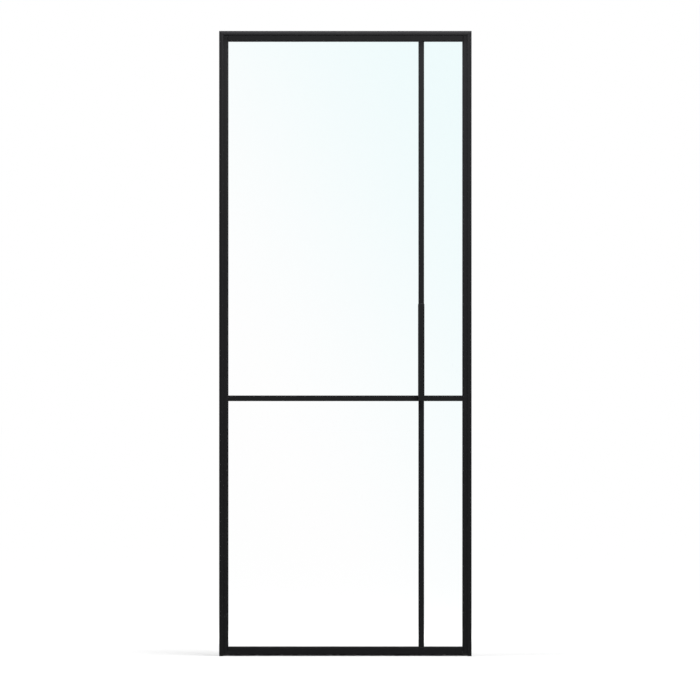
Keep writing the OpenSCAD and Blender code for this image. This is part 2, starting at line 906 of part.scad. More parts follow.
module handle_posts_front() {
    color(coat) handle_posts();
}

module handle_posts_back() {
    color(coat) mirror([0, 1, 0]) handle_posts();
}

module handle_studs() {
    color(steel) pane_hole_places() cylinder(h = 2 * (bar_face + stud_grip), d = stud_d, center = true);
}

module pane_grommets() {
    color(soft) pane_hole_places() difference() {
        cylinder(h = 2 * bar_back, d = grommet_d, center = true);
        cylinder(h = 2 * bar_back + 2 * over, d = stud_d + 2 * fit_clear, center = true);
    }
}

// Brush and catch

module brush_seal() {
    base_d = brush_slot_d - 2 * fit_clear;
    base_w = brush_slot_w - 2 * fit_clear;
    pile_d = floor_clear - brush_air + brush_cover_t + over;
    color(soft) along_x(-stile_in, stile_in, floor_clear, false) {
        translate([brush_cover_t + fit_clear, -base_w / 2]) square([base_d, base_w]);
        translate([brush_cover_t + over - pile_d, -brush_pile_w / 2]) square([pile_d, brush_pile_w]);
    }
}

module catch_magnet() {
    color(steel) translate([magnet_x, 0, leaf_top]) union() {
        cylinder(h = magnet_flange_t, d = magnet_flange_d);
        translate([0, 0, -magnet_l]) cylinder(h = magnet_l + magnet_flange_t / 2, d = magnet_d);
    }
}

hinge_jamb();
closing_jamb();
head();
hinge_jamb_face();
closing_jamb_face();
head_face();
cleat_left();
cleat_right();
cleat_screws();
seal_hinge_side();
seal_closing_side();
seal_head();
catch_keeper();
keeper_screws();
hinge_frame_wing_bottom();
hinge_frame_wing_middle();
hinge_frame_wing_top();
hinge_leaf_wing_bottom();
hinge_leaf_wing_middle();
hinge_leaf_wing_top();
hinge_pin_bottom();
hinge_pin_middle();
hinge_pin_top();
hinge_washers();
hinge_frame_screws();
hinge_leaf_screws();
hinge_backing_plates();
hinge_stile();
closing_stile();
top_rail();
bottom_rail();
corner_screws();
cap_hinge_bottom();
cap_hinge_top();
cap_closing_bottom();
cap_closing_top();
glass_pane();
gasket_hinge_side();
gasket_closing_side();
gasket_top();
gasket_bottom();
setting_blocks();
upright_bar_front();
upright_bar_back();
cross_bar_front_left();
cross_bar_front_right();
cross_bar_back_left();
cross_bar_back_right();
bar_tape_front();
bar_tape_back();
handle_front();
handle_back();
handle_posts_front();
handle_posts_back();
handle_studs();
pane_grommets();
brush_seal();
catch_magnet();
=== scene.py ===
"""Looks of a slim black glass door in its frame: finishes, finer visible pieces and a plain studio."""

import math

import bmesh
import bpy
import numpy as np
from bpy.props import FloatProperty, FloatVectorProperty, IntProperty, PointerProperty
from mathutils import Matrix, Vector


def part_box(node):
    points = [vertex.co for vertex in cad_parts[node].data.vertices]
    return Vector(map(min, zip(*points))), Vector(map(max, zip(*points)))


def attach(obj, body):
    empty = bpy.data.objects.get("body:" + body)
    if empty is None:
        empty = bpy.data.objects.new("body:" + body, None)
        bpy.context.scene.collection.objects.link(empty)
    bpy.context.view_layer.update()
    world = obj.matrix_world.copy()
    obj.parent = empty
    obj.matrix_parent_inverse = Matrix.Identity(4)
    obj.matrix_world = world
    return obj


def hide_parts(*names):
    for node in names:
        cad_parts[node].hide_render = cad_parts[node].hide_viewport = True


bl_info = {
    "name": "Slim Glass Door",
    "version": (1, 0, 0),
    "blender": (4, 5, 0),
    "location": "3D View > Sidebar > Glass Door",
    "description": "Dresses a slim black glass door in its frame and sets up a plain studio",
    "category": "Object",
}

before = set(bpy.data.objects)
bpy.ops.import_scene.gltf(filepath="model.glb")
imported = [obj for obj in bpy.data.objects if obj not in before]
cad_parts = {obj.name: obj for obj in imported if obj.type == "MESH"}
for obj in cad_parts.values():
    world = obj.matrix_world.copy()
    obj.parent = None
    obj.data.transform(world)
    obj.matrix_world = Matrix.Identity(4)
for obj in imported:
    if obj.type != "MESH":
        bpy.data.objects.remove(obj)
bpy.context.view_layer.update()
MM = 0.001
X, Y, Z = 0, 1, 2
# Faces that meet at less than this angle are shaded as one.
SOFT_EDGE = math.radians(32)
# Points whose places in metres agree to this many decimals are one point.
SAME_DECIMALS = 6

# Names in the frame
COATED = (
    "hinge_jamb", "closing_jamb", "head", "hinge_stile", "closing_stile", "top_rail", "bottom_rail",
)
# Each glazing bar and the direction it runs in
BARS = {
    "upright_bar_front": Z, "upright_bar_back": Z,
    "cross_bar_front_left": X, "cross_bar_front_right": X,
    "cross_bar_back_left": X, "cross_bar_back_right": X,
}
HINGE_PLACES = ("bottom", "middle", "top")
ZINC = ("cleat_left", "cleat_right", "hinge_backing_plates", "handle_studs")
# Each group of screws and the body it moves with
SCREWS = {
    "hinge_frame_screws": "frame", "cleat_screws": "frame", "keeper_screws": "frame",
    "hinge_leaf_screws": "leaf", "corner_screws": "leaf",
}
RUBBER = (
    "seal_hinge_side", "seal_closing_side", "seal_head",
    "gasket_hinge_side", "gasket_closing_side", "gasket_top", "gasket_bottom", "setting_blocks",
)
NYLON = (
    "cap_hinge_bottom", "cap_hinge_top", "cap_closing_bottom", "cap_closing_top", "pane_grommets",
)

# Studio: for each lamp its width and height, its place, and its tilt and turn in degrees
LAMPS = {
    "key": ((1.4, 0.6), (0.9, -2.2, 2.6), 84, 25),
    "top": ((1.6, 0.3), (0, -0.15, 2.95), 0, 0),
    "rear": ((1.4, 0.8), (-0.6, 2.6, 2.7), -75, 0),
}
SENSOR_WIDTH = 36
CAMERA_REACH = 300
FLOOR_REACH = 90
FLOOR_DROP = 0.2 * MM
# The floor's glow rises between these distances from this place behind the door.
GLOW_CENTRE = (0.0, 0.5, 0.0)
GLOW_RISE = (0.6, 2.0)

# Sockets of a Mix node that mixes colours, and a Wave node's radians for one unit at scale 1
FACTOR, COLOUR_A, COLOUR_B, MIXED = 0, 6, 7, 2
WAVE_RADIANS = 20


def linear(hex_colour):
    """sRGB hex colour as linear red, green and blue."""
    srgb = np.array([int(hex_colour[i:i + 2], 16) for i in (1, 3, 5)]) / 255
    return tuple(np.where(srgb <= 0.04045, srgb / 12.92, ((srgb + 0.055) / 1.055) ** 2.4))


def length(label, words, value):
    """A size in metres that a user may change."""
    return FloatProperty(name=label, description=words, default=value, min=0, unit="LENGTH")


def level(label, words, value, unit="NONE"):
    """A strength that a user may change."""
    return FloatProperty(name=label, description=words, default=value, min=0, unit=unit)


def colour(label, words, hex_colour):
    """A colour that a user may change."""
    return FloatVectorProperty(
        name=label, description=words, default=linear(hex_colour), min=0, max=1, subtype="COLOR")


class GlassDoorSizes(bpy.types.PropertyGroup):
    """Sizes of the finer visible pieces"""

    crown_x: length("Highest line", "Highest line of a face strip from its outer edge", 9.5 * MM)
    crown_fall: length("Fall of the face", "Fall of a face strip to its outer edge", 3.2 * MM)
    strip_depth: length("Strip depth", "Depth of a face strip in front of its web", 4.5 * MM)
    strip_round: length("Strip rounding", "Rounding of the front edges of a face strip", 0.85 * MM)
    strip_back: length("Strip back", "Rounding of the back edges of a face strip", 0.2 * MM)
    hairline: length("Hairline", "Width of the line that shows at a mitre", 0.12 * MM)
    bar_round: length("Bar rounding", "Rounding of the face of the glazing bars", 3 * MM)
    bar_back: length("Bar back", "Rounding of the back edges of the glazing bars", 0.6 * MM)
    handle_round: length("Handle rounding", "Rounding of all edges of the handle bars", 2.2 * MM)
    post_groove: length("Post groove", "Depth of the shadow groove round a post", 0.6 * MM)
    groove_place: length("Groove place", "Distance of the groove from the glazing bar", 3 * MM)
    groove_width: length("Groove width", "Distance over which the groove fades out", 0.6 * MM)
    lip_out: length("Gasket lip", "Part of the gasket that shows beside the glass", 1.2 * MM)
    socket_depth: length("Socket depth", "Depth of the sockets in the screw heads", 1.5 * MM)
    brush_strip: length("Brush strip", "Height of the strip that holds the fibres", 2 * MM)
    brush_round: length("Brush rounding", "Rounding of the edges of that strip", 0.5 * MM)
    pile_width: length("Pile width", "Width that the fibres keep to", 3.6 * MM)
    tuft_rows: length("Tuft rows", "Distance between the rows of fibre tufts", 1.1 * MM)
    tuft_pitch: length("Tuft pitch", "Distance between the tufts in a row", 1 * MM)
    tuft_width: length("Tuft width", "Width of a fibre tuft", 0.8 * MM)


class GlassDoorColours(bpy.types.PropertyGroup):
    """Colours of the finishes"""

    coat: colour("Powder coat", "Matt black coat of the profiles and handles", "#1D1D1E")
    hinge: colour("Hinge paint", "Black paint of the hinge wings", "#1B1B1C")
    zinc: colour("Zinc", "Bright zinc plating of screws and plates", "#8E9295")
    steel: colour("Steel", "Ground steel of pins, keeper and magnet cup", "#86898C")
    brass: colour("Brass", "Brass of the hinge washers", "#C2A05C")
    rubber: colour("Rubber", "Black rubber of seals and gaskets", "#171718")
    nylon: colour("Nylon", "Black nylon of caps and grommets", "#1C1C1E")
    tape: colour("Tape", "Black foam tape under the bars", "#141415")
    pile: colour("Pile", "Black fibres of the brush", "#19191A")
    glass: colour("Glass", "Tint of the pane where it is clearest", "#FEFEFE")
    # The second glass colour is a painted reflection, painted into the pane towards its upper right.
    glass_painted_reflection: colour("Glass, cool", "Tint of the pane towards its upper right corner", "#EEFBFC")


class GlassDoorStudio(bpy.types.PropertyGroup):
    """Camera, lamps, surround and floor"""

    view_width: length("View width", "Width of the picture at the door", 2.3524)
    aim_x: length("Aim right", "Middle of the picture, right of the door's middle", 0.0156)
    aim_z: length("Aim height", "Middle of the picture above the floor", 1.0283)
    lens: FloatProperty(name="Lens", description="Focal length in millimetres", default=500, min=10)
    key: level("Key lamp", "Lamp in front, a little higher than the door", 99, "POWER")
    top: level("Top lamp", "Lamp above the door", 80, "POWER")
    rear: level("Rear lamp", "Lamp behind the door", 110, "POWER")
    ambient: level("Ambient", "Level of the light all round", 0.1)
    floor: level("Floor", "Grey of the floor", 0.42)
    glow_near: level("Near glow", "Own glow of the floor just behind the door", 0.4)
    glow_far: level("Far glow", "Own glow of the floor away from the door", 0.958)
    seed: IntProperty(name="Fibre seed", description="Start of the fibres' random leaning", default=7)


# Meshes


def corners_of(node):
    """Lowest and highest corner of a node, as arrays."""
    return [np.array(corner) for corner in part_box(node)]


def rounded(corners, reach, steps=5):
    """Closed outline whose corners are rounded off.

    Each corner P becomes a parabola (1-s)^2 A + 2s(1-s) P + s^2 B, where A and B lie the
    corner's reach before and after it on its two sides."""
    corners = np.asarray(corners, float)
    reach = np.asarray(reach, float)[:, None]
    before = np.roll(corners, 1, 0) - corners
    after = np.roll(corners, -1, 0) - corners
    a = corners + before * reach / np.linalg.norm(before, axis=1, keepdims=True)
    b = corners + after * reach / np.linalg.norm(after, axis=1, keepdims=True)
    s = np.linspace(0, 1, steps + 1)[:, None]
    curve = (1 - s) ** 2 * a[:, None] + 2 * s * (1 - s) * corners[:, None] + s ** 2 * b[:, None]
    return curve.reshape(-1, 2)


def make_piece(name, rings, body, finish, stands_for=()):
    """Closed tubes from points of shape (tubes, rings, sides, 3): quads between neighbouring
    rings, and one flat face at each end."""
    tubes, count, sides, _ = rings.shape
    tube, ring, side = np.meshgrid(
        np.arange(tubes), np.arange(count - 1), np.arange(sides), indexing="ij")
    start = (tube * count + ring) * sides
    after = (side + 1) % sides
    quads = np.stack([start + side, start + after, start + sides + after, start + sides + side], -1)
    first = np.arange(tubes)[:, None] * count * sides
    last = first + (count - 1) * sides
    ends = np.concatenate([first + np.arange(sides)[::-1], last + np.arange(sides)])
    mesh = bpy.data.meshes.new(name)
    mesh.from_pydata(rings.reshape(-1, 3).tolist(), [], quads.reshape(-1, 4).tolist() + ends.tolist())
    skin = bmesh.new()
    skin.from_mesh(mesh)
    bmesh.ops.recalc_face_normals(skin, faces=skin.faces)
    skin.to_mesh(mesh)
    skin.free()
    mesh.shade_smooth()
    mesh.set_sharp_from_angle(angle=SOFT_EDGE)
    mesh.materials.append(finish)
    piece = bpy.data.objects.new(name, mesh)
    bpy.context.scene.collection.objects.link(piece)
    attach(piece, body)
    if stands_for:
        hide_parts(*stands_for)
    return piece


def islands(name):
    """Points of each separate solid of a node: every point takes the lowest label that it can
    reach along edges."""
    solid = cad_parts[name]
    points = np.zeros(3 * len(solid.data.vertices))
    solid.data.vertices.foreach_get("co", points)
    points = points.reshape(-1, 3)
    edges = np.zeros(2 * len(solid.data.edges), int)
    solid.data.edges.foreach_get("vertices", edges)
    same = np.unique(np.round(points, SAME_DECIMALS), axis=0, return_inverse=True)[1].reshape(-1)
    near, far = same[edges.reshape(-1, 2)].T
    label, before = np.arange(same.max() + 1), None
    while not np.array_equal(label, before):
        before = label.copy()
        lowest = np.minimum(before[near], before[far])
        np.minimum.at(label, near, lowest)
        np.minimum.at(label, far, lowest)
    return [points[label[same] == mark] for mark in np.unique(label)]


def dress(finish, *names):
    """Gives solids of the frame their finish."""
    for name in names:
        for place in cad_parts[name].material_slots:
            place.link = "OBJECT"
            place.material = finish


# Finishes


def add(tree, kind, inputs=None, **settings):
    """Adds one node. Settings are its options; inputs are values to set or sockets to link."""
    made = tree.nodes.new(kind)
    for key, value in settings.items():
        setattr(made, key, value)
    for key, value in (inputs or {}).items():
        if isinstance(value, bpy.types.NodeSocket):
            tree.links.new(value, made.inputs[key])
        else:
            made.inputs[key].default_value = value
    return made


def begin(name):
    """Empty material, with the place in the row frame that its patterns read."""
    material = bpy.data.materials.new(name)
    material.use_nodes = True
    tree = material.node_tree
    tree.nodes.clear()
    return material, tree, add(tree, "ShaderNodeTexCoord").outputs["Object"]


def close(material, inputs):
    """Ends a material with one shader."""
    shader = add(material.node_tree, "ShaderNodeBsdfPrincipled", inputs)
    add(material.node_tree, "ShaderNodeOutputMaterial", {"Surface": shader.outputs[0]})
    return material


def shade(base, share):
    """The share of a colour's light, as the value of a colour socket."""
    return (*[share * part for part in base], 1)


def powder_coat(colours):
    # Polyester powder, fine texture, baked on aluminium: a dull even black with little sheen.
    # The real grain is 0.3 mm wide; it is drawn at 1.4 mm so that it shows at all. The specular
    # level is far under that of a usual paint, because it would mirror the white surround.
    material, tree, place = begin("matt_black_powder_coat_on_aluminium")
    grain = add(tree, "ShaderNodeTexNoise", {
        "Vector": place, "Scale": 1 / (1.4 * MM), "Detail": 2.0}).outputs["Fac"]
    cloud = add(tree, "ShaderNodeTexNoise", {
        "Vector": place, "Scale": 1 / (140 * MM), "Detail": 2.0}).outputs["Fac"]
    tone = add(tree, "ShaderNodeMix", {
        FACTOR: cloud, COLOUR_A: shade(colours.coat, 0.9), COLOUR_B: shade(colours.coat, 1.1)},
        data_type="RGBA").outputs[MIXED]
    rough = add(tree, "ShaderNodeMapRange", {"Value": grain, "To Min": 0.46, "To Max": 0.58})
    bump = add(tree, "ShaderNodeBump", {"Height": grain, "Strength": 0.22, "Distance": 0.2 * MM})
    return close(material, {
        "Base Color": tone,
        "Roughness": rough.outputs[0],
        "Specular IOR Level": 0.04,
        "Normal": bump.outputs[0]})


def hinge_paint(colours):
    # Stoved black paint on pressed steel: smoother than the powder coat, slightly wavy.
    # The paint's orange peel is 1 mm wide and drawn at 2.5 mm to show.
    material, tree, place = begin("stoved_black_paint_on_steel")
    peel = add(tree, "ShaderNodeTexNoise", {
        "Vector": place, "Scale": 1 / (2.5 * MM), "Detail": 1.0}).outputs["Fac"]
    tone = add(tree, "ShaderNodeMix", {
        FACTOR: peel, COLOUR_A: shade(colours.hinge, 0.85), COLOUR_B: shade(colours.hinge, 1.15)},
        data_type="RGBA").outputs[MIXED]
    rough = add(tree, "ShaderNodeMapRange", {"Value": peel, "To Min": 0.36, "To Max": 0.46})
    bump = add(tree, "ShaderNodeBump", {"Height": peel, "Strength": 0.15, "Distance": 0.1 * MM})
    return close(material, {
        "Base Color": tone,
        "Roughness": rough.outputs[0],
        "Specular IOR Level": 0.12,
        "Normal": bump.outputs[0]})


def bright_zinc(colours):
    # Electroplated zinc on screws and plates: pale metal with a faint blotchy haze.
    # Haze patches are about 3 mm wide.
    material, tree, place = begin("bright_zinc_plated_steel")
    haze = add(tree, "ShaderNodeTexNoise", {
        "Vector": place, "Scale": 1 / (3 * MM), "Detail": 3.0}).outputs["Fac"]
    tone = add(tree, "ShaderNodeMix", {
        FACTOR: haze, COLOUR_A: shade(colours.zinc, 0.82), COLOUR_B: shade(colours.zinc, 1.05)},
        data_type="RGBA").outputs[MIXED]
    rough = add(tree, "ShaderNodeMapRange", {"Value": haze, "To Min": 0.26, "To Max": 0.44})
    bump = add(tree, "ShaderNodeBump", {"Height": haze, "Strength": 0.08, "Distance": 0.1 * MM})
    return close(material, {
        "Base Color": tone,
        "Metallic": 1.0,
        "Roughness": rough.outputs[0],
        "Normal": bump.outputs[0]})


def ground_steel(colours):
    # Ground steel of pins, keeper and magnet cup: fine lines round the pins, which spread into a
    # haze on level faces. Grinding lines are 0.1 mm apart and drawn at 0.6 mm to show.
    material, tree, place = begin("ground_steel")
    lines = add(tree, "ShaderNodeTexWave", {
        "Vector": place, "Scale": math.tau / (WAVE_RADIANS * 0.6 * MM), "Distortion": 1.5, "Detail": 2.0},
        bands_direction="Z").outputs["Fac"]
    tone = add(tree, "ShaderNodeMix", {
        FACTOR: lines, COLOUR_A: shade(colours.steel, 0.88), COLOUR_B: shade(colours.steel, 1.05)},
        data_type="RGBA").outputs[MIXED]
    rough = add(tree, "ShaderNodeMapRange", {"Value": lines, "To Min": 0.24, "To Max": 0.36})
    bump = add(tree, "ShaderNodeBump", {"Height": lines, "Strength": 0.06, "Distance": 0.05 * MM})
    return close(material, {
        "Base Color": tone,
        "Metallic": 1.0,
        "Roughness": rough.outputs[0],
        "Normal": bump.outputs[0]})


def turned_brass(colours):
    # Turned brass washers: warm metal with fine tool marks, drawn at 0.5 mm to show.
    material, tree, place = begin("turned_brass")
    marks = add(tree, "ShaderNodeTexNoise", {
        "Vector": place, "Scale": 1 / (0.5 * MM), "Detail": 1.0}).outputs["Fac"]
    tone = add(tree, "ShaderNodeMix", {
        FACTOR: marks, COLOUR_A: shade(colours.brass, 0.85), COLOUR_B: shade(colours.brass, 1.05)},
        data_type="RGBA").outputs[MIXED]
    rough = add(tree, "ShaderNodeMapRange", {"Value": marks, "To Min": 0.25, "To Max": 0.4})
    bump = add(tree, "ShaderNodeBump", {"Height": marks, "Strength": 0.08, "Distance": 0.05 * MM})
    return close(material, {
        "Base Color": tone,
        "Metallic": 1.0,
        "Roughness": rough.outputs[0],
        "Normal": bump.outputs[0]})


def seal_rubber(colours):
    # Extruded rubber: dull black with a faint bloom in patches of 40 mm; grain 0.4 mm, drawn at
    # 1.2 mm to show.
    material, tree, place = begin("extruded_seal_rubber")
    grain = add(tree, "ShaderNodeTexNoise", {
        "Vector": place, "Scale": 1 / (1.2 * MM), "Detail": 2.0}).outputs["Fac"]
    bloom = add(tree, "ShaderNodeTexNoise", {
        "Vector": place, "Scale": 1 / (40 * MM), "Detail": 2.0}).outputs["Fac"]
    tone = add(tree, "ShaderNodeMix", {
        FACTOR: bloom, COLOUR_A: shade(colours.rubber, 0.8), COLOUR_B: shade(colours.rubber, 1.3)},
        data_type="RGBA").outputs[MIXED]
    rough = add(tree, "ShaderNodeMapRange", {"Value": grain, "To Min": 0.62, "To Max": 0.8})
    bump = add(tree, "ShaderNodeBump", {"Height": grain, "Strength": 0.12, "Distance": 0.1 * MM})
    return close(material, {
        "Base Color": tone,
        "Roughness": rough.outputs[0],
        "Specular IOR Level": 0.25,
        "Normal": bump.outputs[0]})


def moulded_nylon(colours):
    # Injection-moulded nylon with a spark-eroded skin: even, slightly shiny pits of 0.8 mm.
    material, tree, place = begin("moulded_black_nylon")
    pits = add(tree, "ShaderNodeTexVoronoi", {
        "Vector": place, "Scale": 1 / (0.8 * MM)}).outputs["Distance"]
    tone = add(tree, "ShaderNodeMix", {
        FACTOR: pits, COLOUR_A: shade(colours.nylon, 0.9), COLOUR_B: shade(colours.nylon, 1.15)},
        data_type="RGBA").outputs[MIXED]
    rough = add(tree, "ShaderNodeMapRange", {"Value": pits, "To Min": 0.42, "To Max": 0.56})
    bump = add(tree, "ShaderNodeBump", {"Height": pits, "Strength": 0.12, "Distance": 0.1 * MM})
    return close(material, {
        "Base Color": tone,
        "Roughness": rough.outputs[0],
        "Specular IOR Level": 0.3,
        "Normal": bump.outputs[0]})


def foam_tape(colours):
    # Closed-cell acrylic foam: matt black, cells of 0.3 mm drawn at 0.9 mm on the cut edge.
    material, tree, place = begin("black_acrylic_foam_tape")
    cells = add(tree, "ShaderNodeTexVoronoi", {
        "Vector": place, "Scale": 1 / (0.9 * MM)}).outputs["Distance"]
    tone = add(tree, "ShaderNodeMix", {
        FACTOR: cells, COLOUR_A: shade(colours.tape, 0.75), COLOUR_B: shade(colours.tape, 1.25)},
        data_type="RGBA").outputs[MIXED]
    rough = add(tree, "ShaderNodeMapRange", {"Value": cells, "To Min": 0.75, "To Max": 0.9})
    bump = add(tree, "ShaderNodeBump", {"Height": cells, "Strength": 0.3, "Distance": 0.2 * MM})
    return close(material, {
        "Base Color": tone,
        "Roughness": rough.outputs[0],
        "Specular IOR Level": 0.2,
        "Normal": bump.outputs[0]})


def brush_fibre(colours):
    # Crimped polypropylene fibres in a dense pile: soft black, with a painted highlight: paler strands
    # in the colour stand for lit flanks. Single fibres are 0.08 mm thick; strands are drawn 0.5 mm wide,
    # and long, to show.
    material, tree, place = begin("polypropylene_brush_pile")
    drawn_out = add(tree, "ShaderNodeMapping", {"Vector": place, "Scale": (1.0, 1.0, 0.12)}).outputs[0]
    strand_and_painted_highlight = add(tree, "ShaderNodeTexNoise", {
        "Vector": drawn_out, "Scale": 1 / (0.5 * MM), "Detail": 2.0}).outputs["Fac"]
    # Painted highlight: strands made paler in the colour, standing for lit flanks of the fibres.
    tone = add(tree, "ShaderNodeMix", {
        FACTOR: strand_and_painted_highlight, COLOUR_A: shade(colours.pile, 0.6), COLOUR_B: shade(colours.pile, 1.4)},
        data_type="RGBA").outputs[MIXED]
    rough = add(tree, "ShaderNodeMapRange", {"Value": strand_and_painted_highlight, "To Min": 0.6, "To Max": 0.8})
    bump = add(tree, "ShaderNodeBump", {"Height": strand_and_painted_highlight, "Strength": 0.3, "Distance": 0.1 * MM})
    return close(material, {
        "Base Color": tone,
        "Roughness": rough.outputs[0],
        "Specular IOR Level": 0.25,
        "Normal": bump.outputs[0]})


def toughened_glass(colours):
    # Toughened float glass: clear, with the faint waves that the oven's rollers leave, 260 mm apart.
    # Its colour holds a painted reflection: a pale blue-green that deepens towards the upper right.
    # The painted reflection runs along the slant x + 0.55 z, between 0.1 m and 1.56 m.
    material, tree, place = begin("toughened_float_glass")
    slant = add(tree, "ShaderNodeVectorMath", {
        0: place, 1: (1.0, 0.0, 0.55)}, operation="DOT_PRODUCT").outputs["Value"]
    painted_reflection_share = add(tree, "ShaderNodeMapRange", {
        "Value": slant, "From Min": 0.1, "From Max": 1.56}, interpolation_type="SMOOTHSTEP")
    # Painted reflection: the pane's colour turns pale blue-green towards the upper right.
    tint = add(tree, "ShaderNodeMix", {
        FACTOR: painted_reflection_share.outputs[0], COLOUR_A: shade(colours.glass, 1), COLOUR_B: shade(colours.glass_painted_reflection, 1)},
        data_type="RGBA").outputs[MIXED]
    waves = add(tree, "ShaderNodeTexWave", {
        "Vector": place, "Scale": math.tau / (WAVE_RADIANS * 260 * MM), "Distortion": 0.4},
        bands_direction="Z").outputs["Fac"]
    rough = add(tree, "ShaderNodeMapRange", {"Value": waves, "To Min": 0.0, "To Max": 0.006})
    bump = add(tree, "ShaderNodeBump", {"Height": waves, "Strength": 0.02, "Distance": 0.03 * MM})
    return close(material, {
        "Base Color": tint,
        "Roughness": rough.outputs[0],
        "IOR": 1.52,
        "Transmission Weight": 1.0,
        "Normal": bump.outputs[0]})


FINISHES = {}


def finish_for(make):
    """The finish that this function makes, made once."""
    if make.__name__ not in FINISHES:
        FINISHES[make.__name__] = make(bpy.context.scene.glass_door_colours)
    return FINISHES[make.__name__]


# Operators


class GLASSDOOR_OT_profiles(bpy.types.Operator):
    """Coats the webs of the frame and the stiles and rails of the leaf"""

    bl_idname = "glass_door.profiles"
    bl_label = "Profiles"

    def execute(self, context):
        dress(finish_for(powder_coat), *COATED)
        return {"FINISHED"}


class GLASSDOOR_OT_face_strips(bpy.types.Operator):
    """Builds the three crowned face strips with their mitres"""

    bl_idname = "glass_door.face_strips"
    bl_label = "Face Strips"

    def execute(self, context):
        sizes = context.scene.glass_door_sizes
        coat = finish_for(powder_coat)
        low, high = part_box("hinge_jamb_face")
        half, top = -low.x, high.z
        u, y = self.outline(sizes, high.x - low.x).T
        # Each strip is that outline carried along a straight line; at a mitre the end of each
        # line slides back by its distance from the outer edge.
        foot, corner, line = np.zeros_like(u), top - u, sizes.hairline / 2
        for hand, side, node in (("left", -1, "hinge_jamb_face"), ("right", 1, "closing_jamb_face")):
            x = side * (half - u)
            rings = np.stack([np.stack([x, y, z], 1) for z in (foot, corner - line)])
            make_piece("face_strip_" + hand, rings[None], "frame", coat, [node])
        rings = np.stack([np.stack([side * (half - u - line), y, corner], 1) for side in (-1, 1)])
        make_piece("face_strip_head", rings[None], "frame", coat, ["head_face"])
        return {"FINISHED"}

    def outline(self, sizes, width, points=9):
        """Outline of a strip, u across it and y its depth: the face falls away from its highest
        line by r - sqrt(r^2 - d^2), d the distance from that line, and the back is flat."""
        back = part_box("hinge_jamb")[0].y
        front = back - sizes.strip_depth
        radius = (sizes.crown_x ** 2 + sizes.crown_fall ** 2) / (2 * sizes.crown_fall)
        across = np.linspace(0, width, points)
        face = front + radius - np.sqrt(radius ** 2 - (across - sizes.crown_x) ** 2)
        corners = np.concatenate([np.stack([across, face], 1), [[width, back], [0, back]]])
        step, last = across[1], points - 1
        reach = np.full(len(corners), step / 2)
        reach[[1, last - 1]] = step / 3
        reach[[0, last]] = sizes.strip_round
        reach[[last + 1, last + 2]] = sizes.strip_back
        return rounded(corners, reach)


class GLASSDOOR_OT_bars(bpy.types.Operator):
    """Builds the glazing bars with rounded faces and dresses the tape under them"""

    bl_idname = "glass_door.bars"
    bl_label = "Glazing Bars"

    def execute(self, context):
        sizes = context.scene.glass_door_sizes
        for node, along in BARS.items():
            low, high = corners_of(node)
            across = X if along == Z else Z
            face, bed = (low[Y], high[Y]) if high[Y] < 0 else (high[Y], low[Y])
            # The outline, face corners first, carried along the bar.
            outline = rounded(
                [[low[across], face], [high[across], face], [high[across], bed], [low[across], bed]],
                [sizes.bar_round, sizes.bar_round, sizes.bar_back, sizes.bar_back], steps=8)
            rings = np.zeros((2, len(outline), 3))
            rings[..., across] = outline[:, 0]
            rings[..., Y] = outline[:, 1]
            rings[0, :, along] = low[along]
            rings[1, :, along] = high[along]
            make_piece(node + "_extrusion", rings[None], "leaf", finish_for(powder_coat), [node])
        dress(finish_for(foam_tape), "bar_tape_front", "bar_tape_back")
        return {"FINISHED"}


class GLASSDOOR_OT_handles(bpy.types.Operator):
    """Builds the two strip handles and their posts"""

    bl_idname = "glass_door.handles"
    bl_label = "Handles"

    def execute(self, context):
        sizes = context.scene.glass_door_sizes
        coat = finish_for(powder_coat)
        for side in ("front", "back"):
            bar, posts = "handle_" + side, "handle_posts_" + side
            rings = self.bar(bar, sizes.handle_round)
            make_piece("handle_bar_" + side, rings[None], "leaf", coat, [bar])
            rings = self.posts(side, posts, bar, sizes)
            make_piece("handle_posts_turned_" + side, rings, "leaf", coat, [posts])
        return {"FINISHED"}

    def bar(self, node, r, steps=9, last_tilt=86):
        """Rounded bar: a corner of the inner box plus r times the direction (turn, tilt)."""
        low, high = corners_of(node)
        inner = (high - low) / 2 - r
        rise = np.linspace(0, last_tilt, steps)
        tilt = np.radians(np.concatenate([-rise[::-1], rise]))[:, None]
        quarter = np.repeat(np.arange(4), steps)[None]
        turn = np.radians(90 * quarter + np.tile(np.linspace(0, 90, steps), 4))
        x = np.where((quarter == 0) | (quarter == 3), 1, -1) * inner[X] + r * np.cos(tilt) * np.cos(turn)
        y = np.where(quarter < 2, 1, -1) * inner[Y] + r * np.cos(tilt) * np.sin(turn)
        z = np.repeat([-1, 1], steps)[:, None] * inner[Z] + r * np.sin(tilt) + 0 * turn
        return (low + high) / 2 + np.stack([x, y, z], -1)

    def posts(self, side, node, handle, sizes, sides=48):
        """Posts: radius r(s) turned about each one's own line, s from the glazing bar to the
        handle, with a soft groove r - g exp(-((s - s0) / w)^2) near the bar."""
        low, high = corners_of(node)
        bar_low, bar_high = corners_of("upright_bar_" + side)
        handle_low, handle_high = corners_of(handle)
        start, end = (bar_low[Y], handle_high[Y]) if side == "front" else (bar_high[Y], handle_low[Y])
        radius = (high[X] - low[X]) / 2
        # The rings stand close together over the groove, in the first quarter.
        s = np.concatenate([np.linspace(0, 0.25, 22), np.linspace(0.27, 1, 6)])[:, None]
        off_groove = (s * abs(end - start) - sizes.groove_place) / sizes.groove_width
        r = radius - sizes.post_groove * np.exp(-(off_groove ** 2))
        angle = np.linspace(0, 2 * np.pi, sides, endpoint=False)[None]
        x = (handle_low[X] + handle_high[X]) / 2 + r * np.cos(angle)
        y = start + (end - start) * s
        z = np.array([low[Z] + radius, high[Z] - radius])[:, None, None] + r * np.sin(angle)
        return np.stack(np.broadcast_arrays(x, y, z), -1)


